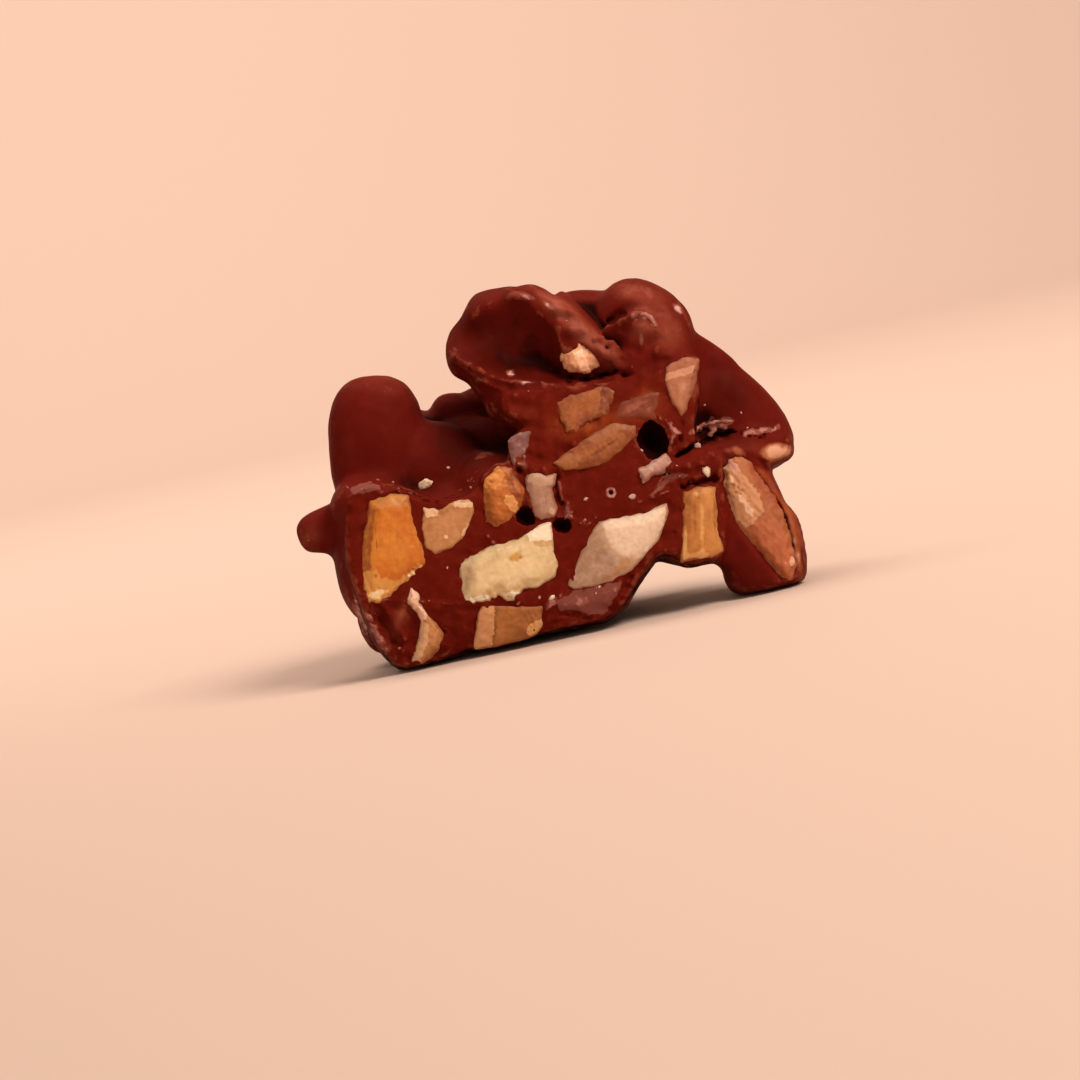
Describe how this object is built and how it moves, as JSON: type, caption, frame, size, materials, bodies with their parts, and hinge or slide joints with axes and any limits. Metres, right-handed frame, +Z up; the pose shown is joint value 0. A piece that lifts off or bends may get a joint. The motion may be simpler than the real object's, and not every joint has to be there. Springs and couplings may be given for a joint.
{
  "type": "almond rocher half",
  "caption": "Half of an almond rocher: a craggy cluster of whole and chopped almonds bound in milk chocolate, cut through to show the nuts.",
  "frame": {"origin": "middle of the sweet's bounding box, seen from above, on the flat base it stands on", "axes": "+X to the right along the cut face, which looks towards -Y; +Y into the food, away from the cut; +Z up"},
  "size_m": [0.052, 0.027, 0.0359],
  "materials": {
    "milk_chocolate": "satin",
    "almond_amber": "matte",
    "almond_tan": "matte",
    "almond_gold": "matte",
    "almond_pale": "matte",
    "almond_ivory": "matte",
    "almond_white": "matte",
    "almond_ochre": "matte",
    "almond_lens": "matte",
    "almond_honey": "matte",
    "almond_veil": "matte",
    "almond_beige": "matte",
    "almond_chip": "matte",
    "almond_shard": "matte",
    "almond_tip": "matte",
    "almond_sliver": "matte",
    "almond_straw": "matte",
    "almond_skin": "matte"
  },
  "bodies": {
    "root": {"chocolate": "milk_chocolate", "almond_amber": "almond_amber", "almond_tan": "almond_tan", "almond_gold": "almond_gold", "almond_pale": "almond_pale", "almond_ivory": "almond_ivory", "almond_white": "almond_white", "almond_ochre": "almond_ochre", "almond_lens": "almond_lens", "almond_honey": "almond_honey", "almond_veil": "almond_veil", "almond_beige": "almond_beige", "almond_chip": "almond_chip", "almond_shard": "almond_shard", "almond_tip": "almond_tip", "almond_sliver": "almond_sliver", "almond_straw": "almond_straw", "almond_skin": "almond_skin"}
  },
  "joints": []
}
